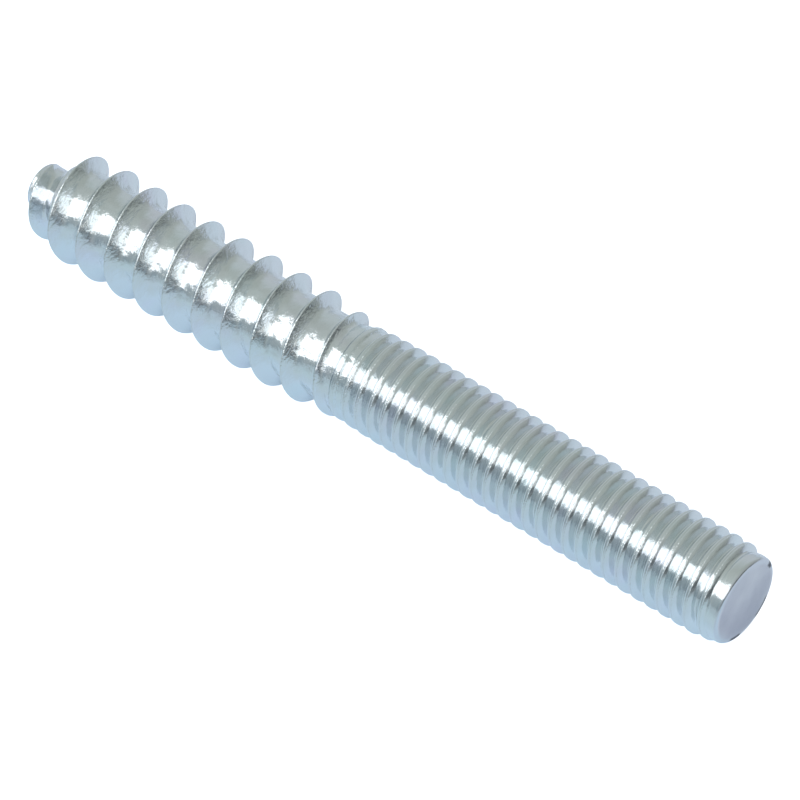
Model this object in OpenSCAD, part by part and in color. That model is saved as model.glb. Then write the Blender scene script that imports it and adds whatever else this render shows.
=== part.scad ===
// A hanger bolt: one steel rod, with a coarse wood thread rolled on one half and a
// fine machine thread on the other. It lies along X. The origin is on the axis, in
// the plane where the machine thread begins, and +X runs towards the machine end.

/* [Rod] */
// Length of the wood half, from the origin to the blunt tip
wood_l = 35; // [30:0.5:60]
// Length of the machine half, from the origin to the flat end
machine_l = 35; // [20:0.5:80]
// Diameter of the plain rod that both threads are rolled on
rod_d = 7.16; // [6.9:0.02:7.4]

/* [Wood thread] */
// Diameter over the crests
wood_d = 8.94; // [8.4:0.02:9.6]
// Distance between neighbouring crests
wood_pitch = 3; // [2.6:0.05:3.6]
// Radial depth of the groove
wood_depth = 1.26; // [0.9:0.02:1.5]
// Width of the narrow land along the crest
wood_crest_w = 0.14; // [0.08:0.02:0.3]
// Width of the floor of the groove
wood_root_w = 1.2; // [0.8:0.05:1.6]
// How far the crest climbs out of the tip before it reaches its full height
wood_runin = 6; // [4:0.5:9]
// How far the last turns sink back towards the plain rod
wood_runout = 5.3; // [3.5:0.1:8]
// How far the end of the ridge is drawn on into the collar
wood_overrun = 0.75; // [0.4:0.05:1]

/* [Blunt tip] */
// Diameter of the cut stub ahead of the first turn
tip_d = 3.94; // [3:0.02:4.6]
// Length of that stub
tip_l = 1.9; // [1.4:0.1:3]
// Length of the rounded dome that ends the stub
tip_dome_l = 0.7; // [0.3:0.05:0.9]
// How far behind the tip the first turn of the thread starts
tip_clear_l = 0.9; // [0.9:0.05:1.3]

/* [Machine thread] */
// Diameter over the crests
machine_d = 7.92; // [7.7:0.02:8.1]
// Distance between neighbouring crests
machine_pitch = 1.25; // [1:0.05:1.5]
// Radial depth of the groove
machine_depth = 0.71; // [0.5:0.01:0.8]
// Width of the flat along the crest
machine_crest_w = 0.18; // [0.1:0.02:0.3]
// Width of the floor of the groove
machine_root_w = 0.26; // [0.2:0.02:0.4]
// How far the machine thread takes to reach its full height
machine_runin = 1.6; // [1:0.1:3]
// How far the last turn takes to sink into the end ring
machine_runout = 1.3; // [0.8:0.1:2]

/* [Flat end] */
// Length of the plain ring at the machine end
end_l = 0.75; // [0.5:0.05:1.5]
// Radius of the rounded edge of the flat end
end_edge_r = 0.24; // [0.1:0.02:0.4]

/* [Smoothness] */
// Flat steps in each turn of the wood thread
wood_steps = 32; // [24:2:36]
// Flat steps in each turn of the machine thread
machine_steps = 22; // [18:2:26]
// Flat steps along each curve of the core's outline
arc_steps = 6; // [4:1:10]

/* [Hidden] */
rod_r = rod_d / 2;
tip_r = tip_d / 2;
wood_r = wood_d / 2;
machine_r = machine_d / 2;
wood_core_r = wood_r - wood_depth;
machine_core_r = machine_r - machine_depth;
// How deep the foot of each ridge is buried in the core
bury = 0.14;
// The plain collar between the two threads, and where the wood thread starts
collar_l = 1.1;
wood_start_x = tip_clear_l - wood_l;
wood_full_x = wood_start_x + wood_runin;
tip_end_x = tip_l - wood_l;
// The angle at which each crest passes the origin's plane, from +Y towards +Z
wood_phase = 161.5;
machine_phase = 203.1;
// Curvature of the wood thread's flanks, and the heights at which they have points
flank_flare_share = 0.4;
wood_flank_shares = [0, 0.34, 0.7];
machine_flank_shares = [0];
// The length over which the end of a ridge dives into the core, of its pitch
dive_share = 0.2;
// How far down the flanks keep widening, of the groove's depth
foot_share = 1.12;
// How proud the last turn of the wood thread stays, between the rod and the machine crests
wood_last_share = 0.5;

function within(u) = min(max(u, 0), 1);
function ease_out(u) = 1 - pow(1 - within(u), 3);
function ease(u) = within(u) * within(u) * (3 - 2 * within(u));
function mix(a, b, u) = a + (b - a) * u;

// Radius of the wood thread's crest: it climbs out of the tip, and its last turns
// sink until they are a little proud of the plain rod.
wood_last_r = mix(rod_r, machine_r, wood_last_share);
function wood_crest_r(x) = min(
    mix(tip_r, wood_r, ease_out((x - wood_start_x) / wood_runin)),
    mix(wood_last_r, wood_r, within((-collar_l - x) / wood_runout))
);

// Radius of the machine thread's crest: it grows out of the collar and sinks into
// the plain ring at the flat end.
machine_first_x = -collar_l - machine_runin / 2;
machine_root_x = machine_l - end_l - machine_pitch / 2;
machine_last_x = machine_l - end_l + machine_pitch / 4;
function machine_crest_r(x) = min(
    mix(rod_r, machine_r, ease_out((x - machine_first_x) / machine_runin)),
    mix(rod_r, machine_r, within((machine_last_x - x) / machine_runout))
);

// Radius of the core under the threads.
function core_r(x) = x < tip_end_x ? tip_r
    : x < wood_full_x ? max(tip_r, wood_crest_r(x) - wood_depth)
    : x < -collar_l ? mix(wood_core_r, rod_r, ease(1 + (x + collar_l) / wood_pitch))
    : x < 0 ? mix(machine_core_r, rod_r, -x / collar_l)
    : mix(machine_core_r, rod_r, within((x - machine_root_x) / (machine_l - end_l - machine_root_x)));

// The outline of the core, from the blunt tip to the flat end.
function stations(a, b) = [for (i = [0:arc_steps]) let (x = mix(a, b, i / arc_steps)) [x, core_r(x)]];
core_outline = concat(
    [for (i = [0:arc_steps]) let (a = 90 * i / arc_steps) [
        tip_dome_l * (1 - cos(a)) - wood_l,
        tip_r * sin(a)
    ]],
    stations(tip_end_x, wood_full_x),
    stations(-collar_l - wood_pitch, -collar_l),
    [[0, machine_core_r], [machine_root_x, machine_core_r], [machine_l - end_l, rod_r]],
    [for (i = [0:arc_steps]) let (a = 90 * i / arc_steps) [
        machine_l - end_edge_r + end_edge_r * sin(a),
        rod_r - end_edge_r + end_edge_r * cos(a)
    ]],
    [[machine_l, 0]]
);

// One half of a ridge's section, from the crest down to the buried foot. Each point
// is [distance from the crest's middle line, radius].
function half_section(crest_r, foot_r, depth, crest_w, base_w, shares) =
    let (drop = crest_r - foot_r)
    [for (s = concat(shares, [1])) let (
        down = s == 1 ? drop : s * min(depth, drop),
        q = min(down / depth, foot_share)
    ) [
        crest_w / 2 + (base_w - crest_w) / 2 * mix(q, q * q, len(shares) > 1 ? flank_flare_share : 0),
        crest_r - down
    ]];

// A ridge wound right-handed about X. The section at each step lies in the plane of
// the axis, and its foot is buried in the core on both sides.
module helical_ridge(from_x, to_x, pitch, phase, steps, crest_w, base_w, depth, shares, crest_at) {
    n = ceil((to_x - from_x) / pitch * steps);
    size = 2 * (len(shares) + 1);
    dive = pitch * dive_share;
    points = [for (i = [0:n]) let (
        x = from_x + (to_x - from_x) * i / n,
        angle = phase + 360 * x / pitch,
        ends = 1 - min(within((x - from_x) / dive), within((to_x - x) / dive)),
        crest = crest_at(x) - ends * (crest_at(x) - core_r(x) + bury),
        foot = min(core_r(x - base_w / 2), core_r(x), core_r(x + base_w / 2), crest) - bury,
        half = half_section(crest, foot, depth, crest_w, base_w, shares)
    ) each concat(
        [for (k = [len(half) - 1:-1:0]) [x - half[k][0], half[k][1] * cos(angle), half[k][1] * sin(angle)]],
        [for (p = half) [x + p[0], p[1] * cos(angle), p[1] * sin(angle)]]
    )];
    // Each end is closed by bands across the section, because its flanks are hollow.
    bands = [for (k = [0:size / 2 - 2]) [size - 1 - k, size - 2 - k, k + 1, k]];
    faces = concat(
        bands,
        [for (i = [0:n - 1], k = [0:size - 1]) let (
            a = i * size + k,
            b = i * size + (k + 1) % size
        ) each [[a, b, a + size], [b, b + size, a + size]]],
        [for (f = bands) [for (k = [3:-1:0]) n * size + f[k]]]
    );
    polyhedron(points, faces);
}

module wood_thread() {
    helical_ridge(
        wood_start_x, wood_overrun - collar_l, wood_pitch, wood_phase, wood_steps,
        wood_crest_w, wood_pitch - wood_root_w, wood_depth, wood_flank_shares,
        function (x) wood_crest_r(x)
    );
}

module machine_thread() {
    helical_ridge(
        machine_first_x, machine_last_x, machine_pitch, machine_phase, machine_steps,
        machine_crest_w, machine_pitch - machine_root_w, machine_depth, machine_flank_shares,
        function (x) machine_crest_r(x)
    );
}

module core() {
    rotate([0, 90, 0])
        rotate_extrude($fn = 72)
            polygon([for (p = core_outline) [p[1], p[0]]]);
}

module hanger_bolt() {
    color("silver") {
        core();
        wood_thread();
        machine_thread();
    }
}

hanger_bolt();
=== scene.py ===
# %% [markdown]
# # A hanger bolt in bright zinc
#
# A hanger bolt is one steel rod with two threads. One half goes into wood and has a
# coarse thread with a blunt tip. The other half takes a nut and has a fine thread.
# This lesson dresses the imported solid: it loads it, works out the shape of both
# threads in numbers, builds one fine mesh from them, plates it with zinc and lights it
# as a small studio table would be lit.

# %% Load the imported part
import math

import bpy
import numpy as np
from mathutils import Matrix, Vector


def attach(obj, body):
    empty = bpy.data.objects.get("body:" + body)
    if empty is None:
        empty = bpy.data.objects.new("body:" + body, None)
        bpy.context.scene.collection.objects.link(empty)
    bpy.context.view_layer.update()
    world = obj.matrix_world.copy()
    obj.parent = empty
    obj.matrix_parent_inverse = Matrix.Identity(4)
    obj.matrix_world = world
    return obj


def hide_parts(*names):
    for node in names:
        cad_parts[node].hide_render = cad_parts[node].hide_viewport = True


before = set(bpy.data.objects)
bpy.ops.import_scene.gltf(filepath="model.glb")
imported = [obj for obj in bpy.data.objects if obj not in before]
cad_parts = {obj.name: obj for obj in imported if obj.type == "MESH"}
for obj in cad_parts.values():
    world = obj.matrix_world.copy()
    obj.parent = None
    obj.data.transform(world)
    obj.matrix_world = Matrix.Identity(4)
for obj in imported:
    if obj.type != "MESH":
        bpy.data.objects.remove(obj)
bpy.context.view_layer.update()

MM = 0.001

# %% [markdown]
# ## The sizes of the bolt
#
# The bolt lies along X with its flat end at +X. Lengths are in millimetres here, as on
# a drawing, and become metres only when the mesh is made. Each thread is a helix, so
# one number says where it is: the angle at which its crest passes x = 0.

# %% Sizes
TIP_X, END_X = -35.0, 35.0
WOOD_PITCH, WOOD_R, WOOD_ANGLE = 3.0, 4.463, math.radians(161.5)
MACHINE_PITCH, MACHINE_ANGLE = 1.25, math.radians(203.1)
ROD_R = 3.58
TIP_R = 1.97
print("pitches", WOOD_PITCH, "and", MACHINE_PITCH, "mm on a rod of", 2 * ROD_R, "mm")

# %% [markdown]
# Three small helpers do all the blending: a straight mix, a soft step from 0 to 1, and
# the larger of two heights with a fillet where they cross, as a rolling die leaves one.

# %% Blending helpers


def mix(a, b, t):
    return a + (b - a) * t


def ease(t):
    t = np.clip(t, 0.0, 1.0)
    return t * t * (3.0 - 2.0 * t)


def smooth_max(a, b, blend):
    """The larger of two heights, with a fillet of about that blend where they meet."""
    t = np.clip(0.5 + 0.5 * (a - b) / blend, 0.0, 1.0)
    return b + (a - b) * t + blend * t * (1.0 - t)


print("halfway up a soft step:", float(ease(0.5)))

# %% [markdown]
# ## How high each crest stands
#
# The crest of the wood thread climbs out of the blunt tip within two turns, and its
# last turns sink back towards the rod. These few points were read along the outline of
# the real bolt, and a smooth curve goes through them.

# %% Crest heights along the bolt
WOOD_CREST = np.array([
    (-34.2, 1.80), (-33.95, 2.0), (-33.65, 2.5), (-33.2, 3.12), (-32.7, 3.56), (-31.4, 4.17),
    (-30.0, 4.38), (-28.4, 4.47), (-25.0, 4.47), (-8.0, 4.47), (-5.8, 4.37), (-4.2, 4.13), (-3.3, 4.09),
    (-2.5, 4.05), (-1.9, 3.90), (-1.2, 3.60), (-0.6, 3.40),
])
MACHINE_CREST = np.array([
    (-2.6, 3.30), (-1.9, 3.78), (-1.2, 3.84), (0.0, 3.90), (2.5, 3.955), (32.6, 3.955),
    (33.4, 3.88), (34.0, 3.74), (34.5, 3.55), (34.9, 3.30),
])
CORE = np.array([
    (-35.0, 1.97), (-32.9, 1.97), (-31.9, 2.42), (-30.9, 2.98), (-30.0, 3.18), (-28.5, 3.22),
    (-24.0, 3.23), (-16.0, 3.31), (-8.0, 3.36), (-5.0, 3.36), (-3.4, 3.40), (-2.3, 3.56),
    (-1.4, 3.58), (-0.4, 3.40), (0.3, 3.25), (33.2, 3.25), (33.9, 3.50),
    (34.2, 3.58), (35.0, 3.58),
])


def along(points, x):
    """A smooth curve through points (x, radius), without overshoot."""
    px, py = points[:, 0], points[:, 1]
    slope = np.diff(py) / np.diff(px)
    tangent = np.zeros(len(px))
    same = slope[:-1] * slope[1:] > 0
    both = slope[:-1] + slope[1:]
    tangent[1:-1][same] = 2 * slope[:-1][same] * slope[1:][same] / both[same]
    k = np.clip(np.searchsorted(px, x) - 1, 0, len(px) - 2)
    h = px[k + 1] - px[k]
    t = np.clip((x - px[k]) / h, 0.0, 1.0)
    return (
        (1 + 2 * t) * (1 - t) ** 2 * py[k] + t * (1 - t) ** 2 * h * tangent[k]
        + t * t * (3 - 2 * t) * py[k + 1] + t * t * (t - 1) * h * tangent[k + 1]
    )


print("wood crest at -20:", float(along(WOOD_CREST, np.array(-20.0))), "mm")

# %% [markdown]
# ## The section of each thread
#
# Both threads are rolled: the dies press the grooves in, and the metal flows up into
# the ridges. A wood thread gets a narrow crest, slightly hollow flanks and a wide flat
# floor. A machine thread gets steep flanks and a rounded root, and its crest keeps a
# fine fold down the middle where the metal from both sides meets. A sweep along a
# helix could draw this, but a table of how far the surface drops below its crest
# keeps every curve smooth and lets the two threads run into each other.

# %% Thread sections
def ridges(x, angle, pitch, start, crest_points, drop):
    """Height of the highest ridge at a place, out of the nearest crest and its two neighbours."""
    turns = x / pitch + (start - angle) / (2 * math.pi)
    height = np.full(np.shape(turns), -np.inf)
    for neighbour in (-1, 0, 1):
        away = (turns - np.round(turns) - neighbour) * pitch
        height = np.maximum(height, along(crest_points, x - away) - drop(away))
    return height


WOOD_PROFILE = np.array([
    (0.0, 0.0), (0.045, 0.0), (0.06, 0.006), (0.08, 0.033), (0.10, 0.064), (0.30, 0.360), (0.60, 0.790),
    (0.76, 0.975), (0.92, 1.095), (1.08, 1.175), (1.25, 1.225), (1.45, 1.25), (1.60, 1.42),
    (1.85, 2.0), (2.2, 3.0),
    (5.0, 10.0),
])
MACHINE_PROFILE = np.array([
    (-2.0, 3.0), (-0.625, 0.67), (-0.585, 0.63), (-0.53, 0.54), (-0.46, 0.40), (-0.39, 0.27), (-0.32, 0.16),
    (-0.25, 0.075), (-0.19, 0.03), (-0.13, 0.006), (-0.085, 0.0), (-0.06, 0.006), (-0.03, 0.028),
    (0.0, 0.035), (0.03, 0.028),
    (0.06, 0.006), (0.085, 0.0), (0.105, 0.004), (0.125, 0.018), (0.15, 0.044), (0.20, 0.098),
    (0.30, 0.215), (0.38, 0.320),
    (0.46, 0.450), (0.54, 0.590), (0.585, 0.648), (0.625, 0.67), (2.0, 3.0),
])
# The wood thread's left flank, towards the tip, is this much steeper than its right one.
LEFT_STEEPNESS = 1.3


def wood_drop(away):
    return along(WOOD_PROFILE, np.where(away < 0, -LEFT_STEEPNESS * away, away))


def machine_drop(away):
    return along(MACHINE_PROFILE, away)


def wood_section(x, angle):
    return ridges(x, angle, WOOD_PITCH, WOOD_ANGLE, WOOD_CREST, wood_drop)


def machine_section(x, angle):
    return ridges(x, angle, MACHINE_PITCH, MACHINE_ANGLE, MACHINE_CREST, machine_drop)


print("groove depths", float(wood_drop(np.array(1.5))), "and", float(machine_drop(np.array(0.625))), "mm")

# %% [markdown]
# ## The whole surface
#
# The highest ridge and the core between the ridges meet in a fillet. The rod of the
# wood half isn't perfectly round: the dies leave five faint flats on it, which bend
# each reflection a little. They fade out at the tip and before the collar.

# %% Radius of the bolt
TIP_FILLET, FLOOR_FILLET, COLLAR_FILLET = 0.10, 0.12, 0.05
TIP_TURN_X, COLLAR_X = -30.0, -3.2
OUT_OF_ROUND, FLATS, FLAT_ANGLE = 0.05, 5, math.radians(129.4)


def radius(x, angle):
    wood = wood_section(x, angle)
    machine = machine_section(x, angle)
    core = along(CORE, x)
    ridge = np.where(x < TIP_TURN_X, smooth_max(wood, core, TIP_FILLET), smooth_max(wood, core, FLOOR_FILLET))
    both = smooth_max(machine, ridge, COLLAR_FILLET)
    out_of_round = OUT_OF_ROUND * ease((-1.5 - x) / 3.0) * ease((x + 33.0) / 3.0)
    return np.where(x < COLLAR_X, ridge, both) - out_of_round * np.cos(FLATS * (angle - FLAT_ANGLE))


print("radius halfway along the wood thread:", round(float(radius(np.array(-17.5), 0.0)), 3), "mm")

# %% [markdown]
# ## A grid that follows the helix
#
# If the rows of the mesh ran in plain rings, each crest would cross them at a slant and
# come out jagged. So the rows wind round the bolt with the thread: after one full
# turn, row j arrives where row j + ROWS began. The rows crowd together near the crest,
# where the form turns sharply. In the middle the pitch changes from one thread's to
# the other's over a short stretch.

# %% Rows along one pitch
ROUND = 90
WOOD_ROWS = (0, .015, .020, .027, .034, .06, .12, .20, .25, .30, .35, .40, .45)
MACHINE_ROWS = (0, .02, .045, .068, .084, .10, .12, .16, .20, .26, .32, .38, .45)


def whole_pitch(half):
    return np.array(list(half) + [0.5] + [1 - v for v in half[:0:-1]])


wood_rows, machine_rows = whole_pitch(WOOD_ROWS), whole_pitch(MACHINE_ROWS)
ROWS = len(wood_rows)
print(ROWS, "rows to a pitch,", ROUND, "steps round")

# %% [markdown]
# The place of the helix is kept as a count of turns along the bolt. It rises by one in
# each pitch, and the short change from the coarse pitch to the fine one is eased.

# %% Turn count along the bolt
CHANGE_X, CHANGE_L = -2.6, 2.4


def machine_share(x):
    """0 on the wood thread, 1 on the machine thread."""
    return ease((x - CHANGE_X) / CHANGE_L)


samples = np.linspace(TIP_X - 4, END_X + 3, 40001)
share = machine_share(samples)
wood_turns = samples / WOOD_PITCH + WOOD_ANGLE / (2 * math.pi)
machine_turns = samples / MACHINE_PITCH + MACHINE_ANGLE / (2 * math.pi)
middle = np.argmin(np.abs(share - 0.5))
machine_turns += round(wood_turns[middle] - machine_turns[middle])
turns = mix(wood_turns, machine_turns, share)
print("turns rise everywhere:", bool((np.diff(turns) > 0).all()))

# %% [markdown]
# ## One closed mesh
#
# Every place of the grid gets its radius from the sections above. Both ends of the
# strip are pressed flat against a plane, doubled corners are merged, and plain rings
# close the blunt tip and the flat end.

# %% Grid of the threads
START_X, STOP_X = -34.25, 34.55
first = int(math.floor(np.interp(START_X, samples, turns))) - 1
last = int(math.ceil(np.interp(STOP_X, samples, turns))) + 1
row = np.arange((last - first) * ROWS + 1)
step = np.arange(ROUND + 1)
base_turn = first + row // ROWS
near_x = np.interp(base_turn[:, None] + step[None, :] / ROUND, turns, samples)
row_share = machine_share(near_x)
part = mix(wood_rows[row % ROWS][:, None], machine_rows[row % ROWS][:, None], row_share)
grid_turn = base_turn[:, None] + part + step[None, :] / ROUND
grid_x = np.clip(np.interp(grid_turn, turns, samples), START_X, STOP_X)
grid_angle = np.broadcast_to(2 * math.pi * step / ROUND, grid_x.shape)
grid_r = radius(grid_x, grid_angle)
print("grid", grid_x.shape)

# %% [markdown]
# ## Where the crests are worn
#
# Threads rub against each other in the box, so their crests carry small dents and
# burrs. How worn each place is rides on the mesh as one number. It is full on the
# wood crest's land and on both sides of the machine crest's fold, more on the right.

# %% Worn crests
WOOD_WEAR, WOOD_LAND, WOOD_FADE = 0.6, 0.03, 0.05
RIGHT_WEAR, RIGHT_OFF, RIGHT_FADE = 1.0, 0.08, 0.03
LEFT_WEAR, LEFT_OFF, LEFT_FADE = 0.3, -0.08, 0.04
off_crest = np.where(part < 0.5, part, part - 1) * mix(WOOD_PITCH, MACHINE_PITCH, row_share)
off_land = np.maximum(np.abs(off_crest) - WOOD_LAND, 0.0)
wood_wear = WOOD_WEAR * np.exp(-(off_land / WOOD_FADE) ** 2)
right_wear = RIGHT_WEAR * np.exp(-((off_crest - RIGHT_OFF) / RIGHT_FADE) ** 2)
left_wear = LEFT_WEAR * np.exp(-((off_crest - LEFT_OFF) / LEFT_FADE) ** 2)
grid_wear = mix(wood_wear, right_wear + left_wear, row_share)
print("most worn place:", round(float(grid_wear.max()), 2))

# %% [markdown]
# ## The two ends
#
# The blunt tip is a low dome, as the cropping die leaves it. The flat end is a plain
# ring with a rounded edge round a flat face. Both are stacks of plain rings.

# %% Rings of the two ends


def ring_stack(profile, wear):
    """Plain rings from (x, radius) pairs, as rows of places."""
    px = np.array([p[0] for p in profile])[:, None]
    pr = np.array([p[1] for p in profile])[:, None]
    px, pr = (np.broadcast_to(v, (len(v), ROUND + 1)) for v in (px, pr))
    return px, pr, np.full(px.shape, wear)


TIP_DOME, TIP_CUT_X = 0.52, -34.82
END_EDGE = 0.34
tip_turn = [math.radians(a) for a in range(0, 91, 9)]
end_turn = [math.radians(a) for a in range(0, 91, 15)]
tip_profile = [(TIP_CUT_X + TIP_DOME * (1 - math.cos(a)), TIP_R * math.sin(a)) for a in tip_turn]
edge_x, edge_r = END_X - END_EDGE, ROD_R - END_EDGE
end_profile = [(edge_x - 0.04, ROD_R), (edge_x - 0.02, ROD_R)]
end_profile += [(edge_x + END_EDGE * math.sin(a), edge_r + END_EDGE * math.cos(a)) for a in end_turn]
end_profile += [(END_X, 3.0), (END_X, 2.2), (END_X, 1.2), (END_X, 0.0)]
print(len(tip_profile), "rings at the tip,", len(end_profile), "at the flat end")

# %% [markdown]
# Quads join each row to the next. Corners closer than the weld distance become one,
# and a quad that has lost a corner stays as a triangle or falls away.

# %% Mesh builder
WELD = 2e-5


def close_mesh(blocks, name):
    """Joins blocks of rows (x, radius, crest wear) in order into one closed mesh."""
    x, r, wear = (np.concatenate([b[k] for b in blocks]) for k in range(3))
    angle = np.broadcast_to(2 * math.pi * step / ROUND, x.shape)
    places = np.stack([x, r * np.cos(angle), r * np.sin(angle)], -1).reshape(-1, 3)
    wide = ROUND + 1
    j, i = np.meshgrid(np.arange(len(x) - 1), np.arange(ROUND), indexing="ij")
    a = (j * wide + i).ravel()
    quads = np.stack([a, a + 1, a + wide + 1, a + wide], -1)
    cells = np.round(places / WELD).astype(np.int64)
    _, keep, back = np.unique(cells, axis=0, return_index=True, return_inverse=True)
    places, quads = places[keep], back.ravel()[quads]
    faces = []
    for q in quads.tolist():
        f = [v for k, v in enumerate(q) if v != q[k - 1]]
        if len(f) > 2 and len(set(f)) == len(f):
            faces.append(f)
    mesh = bpy.data.meshes.new(name)
    mesh.from_pydata(places * MM, [], faces)
    mesh.shade_smooth()
    mesh.attributes.new("crest_wear", "FLOAT", "POINT").data.foreach_set("value", wear.ravel()[keep])
    return mesh


print("weld distance", WELD, "mm")

# %% The bolt's mesh
blocks = [ring_stack(tip_profile, 0.5), (grid_x, grid_r, grid_wear), ring_stack(end_profile, 0.0)]
mesh = close_mesh(blocks, "hanger_bolt_steel")
bolt = bpy.data.objects.new("hanger_bolt_steel", mesh)
bpy.context.collection.objects.link(bolt)
triangles = sum(len(p.vertices) - 2 for p in mesh.polygons)
print("mesh", len(mesh.vertices), "corners", triangles, "triangles")

# %% [markdown]
# A closed mesh has exactly two faces at each edge. This piece then stands for the
# imported solid, which is hidden.

# %% Check that the mesh is closed
edge_uses = np.zeros(len(mesh.edges), dtype=int)
loop_edges = np.empty(len(mesh.loops), dtype=int)
mesh.loops.foreach_get("edge_index", loop_edges)
np.add.at(edge_uses, loop_edges, 1)
print("open edges", int((edge_uses == 1).sum()), "crowded edges", int((edge_uses > 2).sum()))

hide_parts("hanger_bolt")
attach(bolt, "root")

# %% [markdown]
# ## Bright zinc plating
#
# The steel is plated with a few thousandths of a millimetre of zinc and dipped in a
# pale blue passivate. It reflects like a soft mirror with a cool tint. The plating
# follows the rolled surface, so fine ripples and specks break up each reflection.

# %% Colour and node helpers
def linear(hex_colour):
    """An sRGB hex colour as linear RGBA."""
    out = []
    for k in (1, 3, 5):
        c = int(hex_colour[k:k + 2], 16) / 255
        out.append(c / 12.92 if c <= 0.04045 else ((c + 0.055) / 1.055) ** 2.4)
    return (*out, 1.0)


def add_node(tree, kind, links=(), values=(), stops=(), **settings):
    """Adds a node. Settings are sockets or properties by name, links are (from socket, to socket),
    values are (socket, value), and stops are a ramp's (position, hex colour)."""
    node = tree.nodes.new(kind)
    for key, value in settings.items():
        name = key.replace("_", " ")
        if name in node.inputs:
            node.inputs[name].default_value = value
        else:
            setattr(node, key, value)
    for socket, value in values:
        node.inputs[socket].default_value = value
    for source, target in links:
        tree.links.new(source, node.inputs[target])
    if stops:
        elements = node.color_ramp.elements
        while len(elements) < len(stops):
            elements.new(0.5)
        for element, (position, hex_colour) in zip(elements, stops):
            element.position = position
            element.color = linear(hex_colour)
    return node


def per_metre(size_mm):
    """The noise scale that makes one patch about that many millimetres wide."""
    return 1.0 / (size_mm * MM)


print("zinc in linear light", [round(c, 3) for c in linear("#E3E8EC")[:3]])

# %% [markdown]
# The passivate isn't even: its tint drifts between blue and violet in patches of about
# three millimetres. The drift is faint, so the colours lie close together.

# %% Zinc: tint
zinc = bpy.data.materials.new("bright_zinc_plated_steel")
zinc.use_nodes = True
tree = zinc.node_tree
shader = tree.nodes["Principled BSDF"]
shader.inputs["Metallic"].default_value = 1.0
place = add_node(tree, "ShaderNodeTexCoord").outputs["Object"]
axis = add_node(tree, "ShaderNodeSeparateXYZ", [(place, "Vector")])
tint_noise = add_node(tree, "ShaderNodeTexNoise", [(place, "Vector")], Scale=per_metre(3.03), Detail=2.0)
tint = add_node(
    tree, "ShaderNodeValToRGB", [(tint_noise.outputs["Fac"], "Fac")],
    stops=((0.30, "#E1E9EC"), (0.47, "#E3E8EB"), (0.56, "#E3E8EC"), (0.70, "#E4E6ED")),
)
print("tint patches", round(1 / per_metre(3.03) / MM, 2), "mm")

# %% [markdown]
# The flat end was cut before plating, so it is a little darker and more violet than
# the rolled surface. Part of that darkness is painted shade, for the shadowed floor
# that the face mirrors. It begins in the last hundredths of a millimetre along X.

# %% Zinc: cut end, with painted shade
cut_noise = add_node(tree, "ShaderNodeTexNoise", [(place, "Vector")], Scale=per_metre(3.846), Detail=3.0)
# The end face's darker colour is the cut metal's tone together with painted shade.
cut_tone_and_painted_shade = add_node(
    tree, "ShaderNodeValToRGB", [(cut_noise.outputs["Fac"], "Fac")],
    stops=((0.35, "#C4C6D1"), (0.65, "#DCDDE3")),
)
at_cut = add_node(tree, "ShaderNodeMapRange", [(axis.outputs["X"], 0)], From_Min=0.03494, From_Max=0.03499)
steel = add_node(
    tree, "ShaderNodeMix", [(at_cut.outputs[0], 0), (tint.outputs["Color"], 6), (cut_tone_and_painted_shade.outputs["Color"], 7)],
    data_type="RGBA",
)
print("cut face from", 34.94, "mm")

# %% [markdown]
# The rim of the flat end is nicked in three places, where the bolt was dropped or
# struck. Their burrs' shadow is painted dark into the colour there, beside one
# stretch that is a little lighter. A ramp round the clock draws them, and the noise
# makes their ends uneven.

# %% Zinc: nicks round the rim, with painted shadow
# The dark rim colour is the nicks' painted shadow.
PLAIN, NICK_SHADOW, SHINE = "#DADDE4", "#4B4D55", "#E6E9ED"
CLOCK_START, CLOCK_WOBBLE = 0.47, 0.06
round_share = add_node(
    tree, "ShaderNodeMath", [(axis.outputs["Z"], 0), (axis.outputs["Y"], 1)], operation="ARCTAN2",
)
clock = add_node(
    tree, "ShaderNodeMath", [(round_share.outputs[0], 0)], [(1, 1 / (2 * math.pi)), (2, CLOCK_START)],
    operation="MULTIPLY_ADD",
)
wobble = add_node(
    tree, "ShaderNodeMath", [(cut_noise.outputs["Fac"], 0), (clock.outputs[0], 2)], [(1, CLOCK_WOBBLE)],
    operation="MULTIPLY_ADD",
)
rim = add_node(tree, "ShaderNodeValToRGB", [(wobble.outputs[0], "Fac")], stops=(
    (0.165, PLAIN), (0.18, NICK_SHADOW), (0.222, NICK_SHADOW), (0.235, SHINE), (0.315, SHINE), (0.325, NICK_SHADOW),
    (0.41, NICK_SHADOW), (0.425, PLAIN), (0.56, PLAIN), (0.568, NICK_SHADOW), (0.588, NICK_SHADOW), (0.60, PLAIN),
))
across_axis = add_node(
    tree, "ShaderNodeVectorMath", [(place, 0)], [(1, (0.0, 1.0, 1.0))], operation="MULTIPLY",
)
from_axis = add_node(tree, "ShaderNodeVectorMath", [(across_axis.outputs[0], 0)], operation="LENGTH")
outer = add_node(
    tree, "ShaderNodeMapRange", [(from_axis.outputs["Value"], 0)], From_Min=0.00303, From_Max=0.00318,
)
near_end = add_node(tree, "ShaderNodeMapRange", [(axis.outputs["X"], 0)], From_Min=0.03480, From_Max=0.03486)
on_rim = add_node(
    tree, "ShaderNodeMath", [(outer.outputs[0], 0), (near_end.outputs[0], 1)], operation="MULTIPLY",
)
edged = add_node(
    tree, "ShaderNodeMix", [(on_rim.outputs[0], 0), (steel.outputs[2], 6), (rim.outputs["Color"], 7)],
    data_type="RGBA",
)
tree.links.new(edged.outputs[2], shader.inputs["Base Color"])
print("rim ramp stops", len(rim.color_ramp.elements))

# %% [markdown]
# Rolling squeezes the metal, and the wood half, which is pressed deeper, comes out
# wavier than the machine half. Waves of about a millimetre bend the reflections most
# on the floors. Finer ripples lie across the rod, half as long as they are wide.

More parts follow.
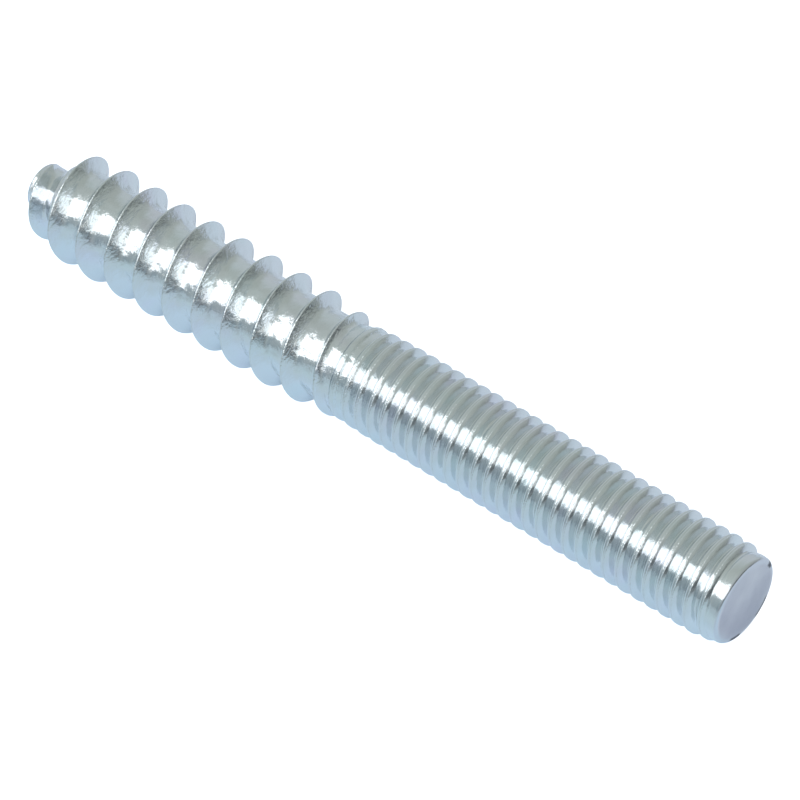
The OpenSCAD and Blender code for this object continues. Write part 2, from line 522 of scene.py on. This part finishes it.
# %% Zinc: waves and ripples
wood_half = add_node(
    tree, "ShaderNodeMapRange", [(axis.outputs["X"], 0)],
    From_Min=-0.001, From_Max=0.003, To_Min=1.0, To_Max=0.3,
)
at_root = add_node(
    tree, "ShaderNodeMapRange", [(from_axis.outputs["Value"], 0)],
    From_Min=0.0033, From_Max=0.0038, To_Min=1.0, To_Max=0.45,
)
uneven = add_node(
    tree, "ShaderNodeMath", [(wood_half.outputs[0], 0), (at_root.outputs[0], 1)], operation="MULTIPLY",
)
wave = add_node(tree, "ShaderNodeTexNoise", [(place, "Vector")], Scale=per_metre(1.25), Detail=1.0)
waves = add_node(
    tree, "ShaderNodeBump", [(wave.outputs["Fac"], "Height"), (uneven.outputs[0], "Strength")],
    Distance=0.00015,
)
RIPPLE_LONG, RIPPLE_WIDE = per_metre(0.1923), per_metre(0.3846)
lay = add_node(tree, "ShaderNodeMapping", [(place, "Vector")], Scale=(RIPPLE_LONG, RIPPLE_WIDE, RIPPLE_WIDE))
ripple = add_node(
    tree, "ShaderNodeTexNoise", [(lay.outputs["Vector"], "Vector")], Scale=1.0, Detail=3.0, Roughness=0.6,
)
rolled = add_node(
    tree, "ShaderNodeBump",
    [(ripple.outputs["Fac"], "Height"), (wood_half.outputs[0], "Strength"), (waves.outputs["Normal"], "Normal")],
    Distance=0.000035,
)
print("ripples", [round(1 / v / MM, 3) for v in (RIPPLE_LONG, RIPPLE_WIDE)], "mm")

# %% [markdown]
# Worn crests are rougher and catch the light in beads. The real burrs are finer than
# a pixel, so they are drawn coarser, at about a fifth of a millimetre, to show at all.

# %% Zinc: worn crests
wear = add_node(tree, "ShaderNodeAttribute", attribute_name="crest_wear")
burr = add_node(tree, "ShaderNodeTexNoise", [(place, "Vector")], Scale=per_metre(0.1818), Detail=2.0)
bump = add_node(
    tree, "ShaderNodeBump",
    [(burr.outputs["Fac"], "Height"), (wear.outputs["Fac"], "Strength"), (rolled.outputs["Normal"], "Normal")],
    Distance=0.00010,
)
rough = add_node(tree, "ShaderNodeMapRange", [(wear.outputs["Fac"], 0)], To_Min=0.16, To_Max=0.24)
tree.links.new(rough.outputs[0], shader.inputs["Roughness"])
tree.links.new(bump.outputs["Normal"], shader.inputs["Normal"])
mesh.materials.append(zinc)
print(zinc.name, "has", len(tree.nodes), "nodes")

# %% [markdown]
# ## The table
#
# The bolt lies on white paper. In the metal the paper shows as a bluish grey, and its
# colour carries painted shade: it is darkest in front, so its colour follows Y, and it
# is painted darker far behind, where the lamp's light falls off, and far to the right,
# where the bolt's shadow lies. A large plane is enough for that, since only its
# reflection has to be right.

# %% Table
FLOOR_Z = -WOOD_R * MM
FLOOR_HALF = 2.0
floor_mesh = bpy.data.meshes.new("table")
signs = ((-1, -1), (1, -1), (1, 1), (-1, 1))
floor_mesh.from_pydata([(FLOOR_HALF * i, FLOOR_HALF * j, FLOOR_Z) for i, j in signs], [], [(0, 1, 2, 3)])
table = bpy.data.objects.new("table", floor_mesh)
bpy.context.collection.objects.link(table)
print("table top at", round(FLOOR_Z / MM, 2), "mm")

# %% Paper: colour with painted shade
paper = bpy.data.materials.new("white_paper")
paper.use_nodes = True
tree = paper.node_tree
sheet = tree.nodes["Principled BSDF"]
sheet.inputs["Roughness"].default_value = 0.9
spot = add_node(tree, "ShaderNodeTexCoord")
across = add_node(tree, "ShaderNodeSeparateXYZ", [(spot.outputs["Object"], "Vector")])
front = add_node(tree, "ShaderNodeMapRange", [(across.outputs["Y"], 0)], From_Min=-0.035, From_Max=0.0)
# The ramp paints shade into the paper: darkest in front, lightest under the bolt.
shade = add_node(tree, "ShaderNodeValToRGB", [(front.outputs[0], "Fac")], stops=(
    (0.0, "#ACBDC8"), (0.51, "#C2D6E1"), (0.69, "#CADBE8"), (0.77, "#C7DAEA"), (0.857, "#D3E7FA"),
    (0.96, "#D6ECFF"), (1.0, "#DDE6F6"),
))
# Painted falloff of light far behind, and painted shade far to the right for the bolt's shadow.
painted_falloff_back = add_node(
    tree, "ShaderNodeMapRange", [(across.outputs["Y"], 0)],
    From_Min=0.012, From_Max=0.09, To_Min=1.0, To_Max=0.72,
)
painted_shadow_right = add_node(
    tree, "ShaderNodeMapRange", [(across.outputs["X"], 0)],
    From_Min=0.052, From_Max=0.13, To_Min=1.0, To_Max=0.25,
)
dim = add_node(
    tree, "ShaderNodeMath", [(painted_falloff_back.outputs[0], 0), (painted_shadow_right.outputs[0], 1)], operation="MULTIPLY",
)
dimmed = add_node(
    tree, "ShaderNodeVectorMath", [(shade.outputs["Color"], 0), (dim.outputs[0], "Scale")], operation="SCALE",
)
tree.links.new(dimmed.outputs[0], sheet.inputs["Base Color"])
print("paper ramp stops", len(shade.color_ramp.elements))

# %% [markdown]
# Seen directly, the paper is pure white, as an overexposed studio sheet is. A glow
# that only the camera sees in full adds that. The metal mirrors a small share of it.

# %% Paper: glow
MIRRORED_GLOW = 0.11
glow = add_node(tree, "ShaderNodeEmission", Color=(1, 1, 1, 1), Strength=0.85)
black = add_node(tree, "ShaderNodeEmission", Color=(0, 0, 0, 1), Strength=0.0)
rays = add_node(tree, "ShaderNodeLightPath")
mirrored = add_node(
    tree, "ShaderNodeMath", [(rays.outputs["Is Glossy Ray"], 0)], [(1, MIRRORED_GLOW)], operation="MULTIPLY",
)
seen = add_node(
    tree, "ShaderNodeMath", [(rays.outputs["Is Camera Ray"], 0), (mirrored.outputs[0], 1)], operation="MAXIMUM",
)
pick = add_node(
    tree, "ShaderNodeMixShader", [(seen.outputs[0], 0), (black.outputs[0], 1), (glow.outputs[0], 2)],
)
both = add_node(tree, "ShaderNodeAddShader", [(sheet.outputs["BSDF"], 0), (pick.outputs[0], 1)])
tree.links.new(both.outputs[0], tree.nodes["Material Output"].inputs["Surface"])
floor_mesh.materials.append(paper)
print(paper.name, "has", len(tree.nodes), "nodes")

# %% [markdown]
# ## The room
#
# A mirror shows what stands round it. The room is grey and cool, dark in front where
# the camera stands, lighter above, with one dark patch to the right. The wall at the
# back left is brightest, and the rest is a little warmer. Colour ramps on the
# direction draw all of this.

# %% World
world = bpy.data.worlds.new("studio")
bpy.context.scene.world = world
world.use_nodes = True
tree = world.node_tree
sky = tree.nodes["Background"]
sky.inputs["Strength"].default_value = 1.25
where = add_node(tree, "ShaderNodeTexCoord").outputs["Generated"]
axes = add_node(tree, "ShaderNodeSeparateXYZ", [(where, "Vector")])
back = add_node(tree, "ShaderNodeMapRange", [(axes.outputs["Y"], 0)], From_Min=-1.0, From_Max=1.0)
walls = add_node(tree, "ShaderNodeValToRGB", [(back.outputs[0], "Fac")], stops=(
    (0.0, "#8999A7"), (0.015, "#90A0AC"), (0.05, "#9FACB6"), (0.4, "#BCC5C8"), (0.55, "#B5BDBF"),
    (0.75, "#ADB5B5"), (1.0, "#AFB6B8"),
))
print("wall ramp stops", len(walls.color_ramp.elements))

# %% World: dark patch and warm side
offset = add_node(tree, "ShaderNodeVectorMath", [(where, 0)], [(1, (0.98, 0.12, 0.0))], operation="SUBTRACT")
stretched = add_node(
    tree, "ShaderNodeVectorMath", [(offset.outputs[0], 0)], [(1, (1.0, 0.78, 2.2))], operation="MULTIPLY",
)
reach = add_node(tree, "ShaderNodeVectorMath", [(stretched.outputs[0], 0)], operation="LENGTH")
dark = add_node(
    tree, "ShaderNodeValToRGB", [(reach.outputs["Value"], "Fac")],
    stops=((0.44, "#6C6F73"), (0.60, "#CED0D1"), (0.80, "#FFFFFF")),
)
left = add_node(
    tree, "ShaderNodeVectorMath", [(where, 0)], [(1, (-0.55, 0.83, 0.1))], operation="DOT_PRODUCT",
)
pale = add_node(
    tree, "ShaderNodeValToRGB", [(left.outputs["Value"], "Fac")], stops=((0.55, "#E7E6DF"), (0.9, "#FFFFFF")),
)
room = add_node(
    tree, "ShaderNodeMix", [(walls.outputs["Color"], 6), (dark.outputs["Color"], 7)], [(0, 1.0)],
    data_type="RGBA", blend_type="MULTIPLY",
)
side = add_node(
    tree, "ShaderNodeMix", [(room.outputs[2], 6), (pale.outputs["Color"], 7)], [(0, 1.0)],
    data_type="RGBA", blend_type="MULTIPLY",
)
tree.links.new(side.outputs[2], sky.inputs["Color"])
print(world.name, "has", len(tree.nodes), "nodes")

# %% [markdown]
# ## The lights
#
# One long soft box over the front draws the bright streak along every crest. A
# second card beside it, at the right, is weaker, so the machine half is a little dimmer.

# %% Lights
def soft_box(name, direction, distance, wide, high, watts, shift=0.0):
    """An area light that faces the bolt from that direction, moved along X by shift metres."""
    lamp = bpy.data.lights.new(name, "AREA")
    lamp.shape = "RECTANGLE"
    lamp.size, lamp.size_y = wide, high
    lamp.energy = watts
    holder = bpy.data.objects.new(name, lamp)
    towards = Vector(direction).normalized()
    holder.location = towards * distance + Vector((shift, 0.0, 0.0))
    holder.rotation_mode = "QUATERNION"
    holder.rotation_quaternion = towards.to_track_quat("Z", "Y")
    bpy.context.collection.objects.link(holder)
    print(name, wide, "x", high, "m,", watts, "W")


BOX_DIRECTION, BOX_DISTANCE, BOX_HIGH = (0.0, -0.663, 0.749), 0.8, 0.53
soft_box("main_box", BOX_DIRECTION, BOX_DISTANCE, 2.22, BOX_HIGH, 5.43, -0.49)
soft_box("right_card", BOX_DIRECTION, BOX_DISTANCE, 1.98, BOX_HIGH, 2.80, 1.61)

# %% [markdown]
# ## The camera
#
# The camera looks down on the bolt from the front right. Its focal length is known in
# pixels of the square picture, and the sensor's width turns that into millimetres.

# %% Camera
FOCAL_PIXELS, PICTURE_PIXELS = 4818.0, 800.0
lens = bpy.data.cameras.new("view_lens")
lens.sensor_width = 36.0
lens.lens = FOCAL_PIXELS * lens.sensor_width / PICTURE_PIXELS
lens.clip_start, lens.clip_end = 0.01, 10.0
camera = bpy.data.objects.new("view", lens)
camera.location = (0.166975, -0.197061, 0.259391)
look = Vector((-0.45083, 0.53953, -0.71110))
camera.rotation_mode = "QUATERNION"
camera.rotation_quaternion = look.to_track_quat("-Z", "Y")
bpy.context.collection.objects.link(camera)
bpy.context.scene.camera = camera
bpy.context.scene.view_settings.view_transform = "Standard"
print("lens", round(lens.lens, 1), "mm")
